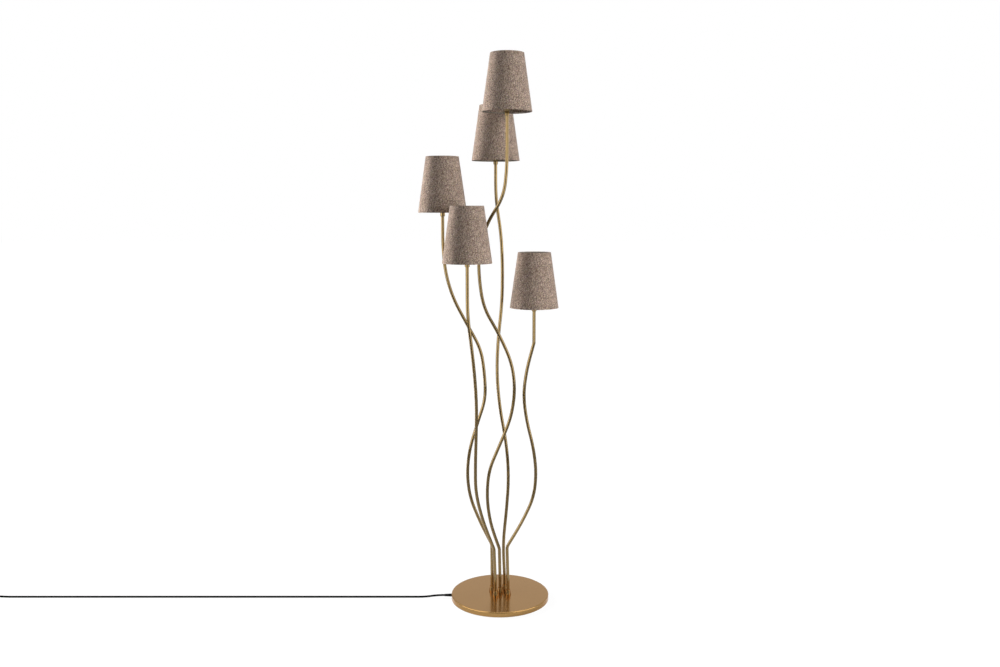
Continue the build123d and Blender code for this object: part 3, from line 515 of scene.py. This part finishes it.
def capped(name, profile, centre, steps, material):
    """An open profile that starts and ends on the axis, turned into a closed solid."""
    inner = profile[1:-1]
    count = len(inner)
    vertices = [(centre[0], centre[1], centre[2] + profile[0][1])]
    for step in range(steps):
        angle = 2 * pi * step / steps
        for radius, height in inner:
            vertices.append(
                (centre[0] + radius * cos(angle), centre[1] + radius * sin(angle), centre[2] + height)
            )
    vertices.append((centre[0], centre[1], centre[2] + profile[-1][1]))
    last = len(vertices) - 1
    faces = []
    for step in range(steps):
        here = 1 + step * count
        after = 1 + ((step + 1) % steps) * count
        faces.append((0, after, here))
        for corner in range(count - 1):
            faces.append((here + corner, after + corner, after + corner + 1, here + corner + 1))
        faces.append((here + count - 1, after + count - 1, last))
    return add_piece(name, vertices, faces, None, material)


# ---------------------------------------------------------------- shades

def wall(offset, height):
    """Radius of a layer of the shade, set in from its outer face, at a height above its lower edge."""
    return SHADE_BOTTOM_RADIUS - (SHADE_BOTTOM_RADIUS - SHADE_TOP_RADIUS) * height / SHADE_HEIGHT - offset


def cloth_profile():
    """The cloth's section: outside, over the upper rim, turned in, and back down inside itself."""
    rim = SHADE_RIM
    fold = TURN_IN - TURN_IN_WALL
    wall_rows = [SHADE_HEIGHT * row / SHADE_ROWS for row in range(1, SHADE_ROWS)]
    outside = [(wall(0, rim), rim)]
    outside += [(wall(0, z), z) for z in wall_rows]
    outside += [(wall(0, SHADE_HEIGHT - rim), SHADE_HEIGHT - rim)]
    outer_in, outer_back = RIM_OUTER
    inner_in, inner_back = RIM_INNER
    top = [
        (wall(outer_in, SHADE_HEIGHT), SHADE_HEIGHT - outer_back),
        (wall(TURN_IN / 2, SHADE_HEIGHT), SHADE_HEIGHT),
        (wall(TURN_IN - inner_in, SHADE_HEIGHT), SHADE_HEIGHT - inner_back),
    ]
    low = SHADE_HEIGHT - TURN_IN_HEIGHT
    turned_in = [
        (wall(TURN_IN, low), low),
        (wall(fold, low), low),
        (wall(fold, SHADE_HEIGHT - 2 * rim), SHADE_HEIGHT - 2 * rim),
        (wall(CLOTH, SHADE_HEIGHT - 2 * rim), SHADE_HEIGHT - 2 * rim),
    ]
    inside = [(wall(CLOTH, z), z) for z in reversed(wall_rows)]
    foot = [
        (wall(CLOTH, 2 * rim), 2 * rim),
        (wall(fold, 2 * rim), 2 * rim),
        (wall(fold, TURN_IN_HEIGHT), TURN_IN_HEIGHT),
        (wall(TURN_IN, TURN_IN_HEIGHT), TURN_IN_HEIGHT),
        (wall(TURN_IN - inner_in, 0), inner_back),
        (wall(TURN_IN / 2, 0), 0.0),
        (wall(outer_in, 0), outer_back),
    ]
    return outside + top + turned_in + inside + foot, len(outside)


def seam_rise(outside_count):
    """The glued overlap at the back of the shade: one more thickness of cloth on the outside."""
    half = SEAM_WIDTH / SHADE_BOTTOM_RADIUS / 2

    def rise(angle, corner):
        if corner >= outside_count:
            return 0.0
        away = abs(angle - pi / 2)
        return SEAM_RISE if away < half else 0.0

    return rise


def make_shade(number):
    low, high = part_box(f"shade_cover_{number}")
    centre = ((low.x + high.x) / 2, (low.y + high.y) / 2, low.z)
    body = f"shade_{number}"
    profile, outside_count = cloth_profile()
    cloth = turned(f"shade_cloth_{number}", profile, centre, SHADE_STEPS, TWEED, seam_rise(outside_count))
    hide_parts(f"shade_cover_{number}")
    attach(cloth, body)
    low_edge = LINER_EDGE
    high_edge = SHADE_HEIGHT - LINER_EDGE
    liner_profile = [
        (wall(LINER_OUT, low_edge), low_edge),
        (wall(LINER_OUT, high_edge), high_edge),
        (wall(LINER_IN, high_edge), high_edge),
        (wall(LINER_IN, low_edge), low_edge),
    ]
    liner = turned(f"shade_liner_{number}", liner_profile, centre, SHADE_STEPS, LINER)
    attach(liner, body)


def cap_profile():
    """The metal cap with its rolled thread, from the contact at its foot to the glass."""
    foot = CAP_FOOT + CAP_BELOW
    rise = CAP_TOP - CAP_ABOVE - foot
    rows = THREAD_ROWS * THREAD_TURNS
    profile = [
        (0.0, CAP_FOOT),
        (CAP_TIP_RADIUS, CAP_FOOT),
        (CAP_CONE_RADIUS, CAP_FOOT + CAP_CONE),
        (CAP_RADIUS, foot),
    ]
    for row in range(1, rows):
        wave = (1 - cos(2 * pi * row / THREAD_ROWS)) / 2
        profile.append((CAP_RADIUS - CAP_THREAD * wave, foot + rise * row / rows))
    profile += [(CAP_RADIUS, foot + rise), (CAP_RADIUS, CAP_TOP - CAP_LID), (0.0, CAP_TOP - CAP_LID)]
    return profile


def glass_profile():
    """The candle-shaped glass: a belly that opens fast and a long taper to a small round tip."""
    top = CAP_TOP + GLASS_HEIGHT
    taper = GLASS_HEIGHT - GLASS_BELLY - GLASS_TIP
    profile = [(0.0, CAP_TOP - GLASS_SUNK), (CAP_RADIUS - GLASS_PLAY, CAP_TOP - GLASS_SUNK)]
    for row in range(GLASS_ROWS + 1):
        part = row / GLASS_ROWS
        radius = GLASS_FOOT_RADIUS + (GLASS_RADIUS - GLASS_FOOT_RADIUS) * sin(part * pi / 2)
        profile.append((radius, CAP_TOP + GLASS_BELLY * part))
    for row in range(1, GLASS_ROWS + 1):
        part = row / GLASS_ROWS
        drawn_in = part**GLASS_TAPER
        radius = GLASS_RADIUS * (1 - drawn_in) + GLASS_TIP_RADIUS * drawn_in
        profile.append((radius, CAP_TOP + GLASS_BELLY + taper * part))
    ring_radius, ring_depth = GLASS_TIP_RING
    profile += [(ring_radius, top - ring_depth), (0.0, top)]
    return profile


def make_bulb(number):
    low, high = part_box(f"bulb_{number}")
    foot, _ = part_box(f"shade_cover_{number}")
    centre = ((low.x + high.x) / 2, (low.y + high.y) / 2, foot.z)
    metal = capped(f"bulb_cap_{number}", cap_profile(), centre, CAP_STEPS, BRASS_CAP)
    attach(metal, "lamp")
    globe = capped(f"bulb_glass_{number}", glass_profile(), centre, GLASS_STEPS, OPAL)
    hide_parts(f"bulb_{number}")
    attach(globe, "lamp")


# ---------------------------------------------------------------- cord

def spline_cord(name, points):
    curve = bpy.data.curves.new(name, "CURVE")
    curve.dimensions = "3D"
    curve.bevel_depth = CORD_RADIUS
    curve.bevel_resolution = 5
    curve.use_fill_caps = True
    spline = curve.splines.new("NURBS")
    spline.points.add(len(points) - 1)
    for point, place in zip(spline.points, points):
        point.co = (*place, 1.0)
    spline.order_u = 3
    spline.use_endpoint_u = True
    spline.resolution_u = 8
    curve.materials.append(BLACK_SHEATH)
    piece = bpy.data.objects.new(name, curve)
    bpy.context.scene.collection.objects.link(piece)
    return piece


def coil_place(turn):
    """A point on the coil, counted in turns from its outer end."""
    middle = COIL_TURNS / 2
    radius = COIL_RADIUS - COIL_PITCH * min(turn, COIL_TURNS - turn)
    climb = min(max((turn - middle) / CLIMB_TURNS + 0.5, 0), 1)
    angle = 2 * pi * (turn + 0.25)
    return (
        COIL_CENTRE[0] + radius * cos(angle),
        COIL_CENTRE[1] + radius * sin(angle),
        CORD_RADIUS + COIL_LAYER * climb,
    )


def make_cords():
    lead = spline_cord("cord_lead", [tuple(value * MM for value in point) for point in CORD_POINTS])
    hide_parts("cord")
    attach(lead, "lamp")
    steps = int(COIL_TURNS * COIL_STEPS)
    straight = 2 * CORD_RADIUS
    bent = 5 * straight
    start = (SWITCH_FAR, 0.0, PORT_HEIGHT)
    points = [start, (SWITCH_FAR - straight, 0.0, PORT_HEIGHT), (SWITCH_FAR - bent, 0.0, CORD_RADIUS)]
    points += [coil_place(step / COIL_STEPS) for step in range(steps + 1)]
    neck_x, neck_y, neck_z = PLUG_NECK
    points += [
        (neck_x - bent, neck_y, CORD_RADIUS + COIL_LAYER),
        (neck_x - straight, neck_y, neck_z),
        PLUG_NECK,
    ]
    coil = spline_cord("cord_wound", points)
    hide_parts("cord_coil")
    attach(coil, "lamp")


# ---------------------------------------------------------------- studio

def make_floor():
    far = FLOOR_HALF
    floor = add_piece(
        "floor",
        [(-far, -far, 0.0), (far, -far, 0.0), (far, far, 0.0), (-far, far, 0.0)],
        [(0, 1, 2, 3)],
        None,
        floor_paint(),
    )
    floor.location.z = -FLOOR_DROP


def floor_paint():
    """Pale floor. What the camera and the gloss see of it is lifted to white, and the shadows stay."""
    material = bpy.data.materials.new("studio_floor")
    material.use_nodes = True
    tree = material.node_tree
    links = tree.links
    tree.nodes.remove(tree.nodes["Principled BSDF"])
    path = tree.nodes.new("ShaderNodeLightPath")
    place = tree.nodes.new("ShaderNodeTexCoord")
    away = tree.nodes.new("ShaderNodeVectorMath")
    away.operation = "LENGTH"
    links.new(place.outputs["Object"], away.inputs[0])

    def by_distance(near, far, value_near, value_far):
        made = tree.nodes.new("ShaderNodeMapRange")
        made.interpolation_type = "SMOOTHSTEP"
        made.inputs["From Min"].default_value = near
        made.inputs["From Max"].default_value = far
        made.inputs["To Min"].default_value = value_near
        made.inputs["To Max"].default_value = value_far
        links.new(away.outputs["Value"], made.inputs["Value"])
        return made.outputs["Result"]

    seen = by_distance(*FLOOR_REACH, FLOOR_LIFT, 1.0)
    mirrored = by_distance(*GLOSS_REACH, FLOOR_GLOSS, 0.0)
    lift = None
    for ray, share in (("Is Camera Ray", seen), ("Is Glossy Ray", mirrored), ("Is Transmission Ray", seen)):
        step = tree.nodes.new("ShaderNodeMath")
        step.operation = "MULTIPLY_ADD"
        step.inputs[2].default_value = 0.0
        links.new(path.outputs[ray], step.inputs[0])
        links.new(share, step.inputs[1])
        if lift:
            links.new(lift, step.inputs[2])
        lift = step.outputs[0]
    tone = tree.nodes.new("ShaderNodeMix")
    tone.data_type = "RGBA"
    tone.inputs[6].default_value = (FLOOR_TONE, FLOOR_TONE, FLOOR_TONE, 1.0)
    tone.inputs[7].default_value = (FLOOR_SEEN, FLOOR_SEEN, FLOOR_SEEN, 1.0)
    links.new(path.outputs["Is Camera Ray"], tone.inputs[0])
    diffuse = tree.nodes.new("ShaderNodeBsdfDiffuse")
    links.new(tone.outputs[2], diffuse.inputs["Color"])
    glow = tree.nodes.new("ShaderNodeEmission")
    glow.inputs["Color"].default_value = (*WHITE, 1.0)
    links.new(lift, glow.inputs["Strength"])
    both = tree.nodes.new("ShaderNodeAddShader")
    links.new(diffuse.outputs[0], both.inputs[0])
    links.new(glow.outputs[0], both.inputs[1])
    links.new(both.outputs[0], tree.nodes["Material Output"].inputs["Surface"])
    return material


def make_world():
    """Soft light, dimmer from the camera's side, with a white backdrop in view and in the gloss."""
    world = bpy.data.worlds.new("studio")
    bpy.context.scene.world = world
    world.use_nodes = True
    tree = world.node_tree
    links = tree.links
    background = tree.nodes["Background"]
    direction = tree.nodes.new("ShaderNodeTexCoord")
    split = tree.nodes.new("ShaderNodeSeparateXYZ")
    links.new(direction.outputs["Generated"], split.inputs[0])
    path = tree.nodes.new("ShaderNodeLightPath")

    def fade(front, back):
        made = tree.nodes.new("ShaderNodeMapRange")
        made.interpolation_type = "SMOOTHSTEP"
        made.inputs["From Min"].default_value, made.inputs["From Max"].default_value = ROOM_TURN
        made.inputs["To Min"].default_value = front
        made.inputs["To Max"].default_value = back
        links.new(split.outputs["Y"], made.inputs["Value"])
        return made.outputs["Result"]

    def choose(ray, otherwise, chosen):
        made = tree.nodes.new("ShaderNodeMix")
        made.data_type = "FLOAT"
        links.new(path.outputs[ray], made.inputs[0])
        links.new(otherwise, made.inputs[2])
        if isinstance(chosen, float):
            made.inputs[3].default_value = chosen
        else:
            links.new(chosen, made.inputs[3])
        return made.outputs[0]

    glossy = fade(GLOSS_FRONT, 1.0)
    strength = choose("Is Glossy Ray", fade(ROOM_FRONT, ROOM_BACK), glossy)
    strength = choose("Is Transmission Ray", strength, glossy)
    strength = choose("Is Camera Ray", strength, 1.0)
    links.new(strength, background.inputs["Strength"])
    background.inputs["Color"].default_value = (*WHITE, 1.0)


def area_light(name, place, target, size, power, lights, shines):
    lamp = bpy.data.lights.new(name, "AREA")
    lamp.shape = "RECTANGLE"
    lamp.size, lamp.size_y = size
    lamp.energy = power
    holder = bpy.data.objects.new(name, lamp)
    holder.location = place
    holder.visible_diffuse = lights
    holder.visible_glossy = shines
    holder.rotation_euler = (Vector(target) - Vector(place)).to_track_quat("-Z", "Y").to_euler()
    bpy.context.scene.collection.objects.link(holder)


def make_camera():
    lens = bpy.data.cameras.new("camera")
    lens.sensor_width = SENSOR_MM
    lens.lens = SENSOR_MM * FOCAL_PIXELS / PHOTO_WIDTH
    camera = bpy.data.objects.new("camera", lens)
    camera.location = CAMERA_PLACE
    camera.rotation_euler = (radians(90 - CAMERA_PITCH), 0, 0)
    bpy.context.scene.collection.objects.link(camera)
    bpy.context.scene.camera = camera


bpy.context.scene.view_settings.view_transform = "Standard"
dress_nodes()
make_camera()
make_cords()
for number in ARM_NUMBERS:
    make_shade(number)
    make_bulb(number)
make_floor()
make_world()
for light in LIGHTS:
    area_light(*light)
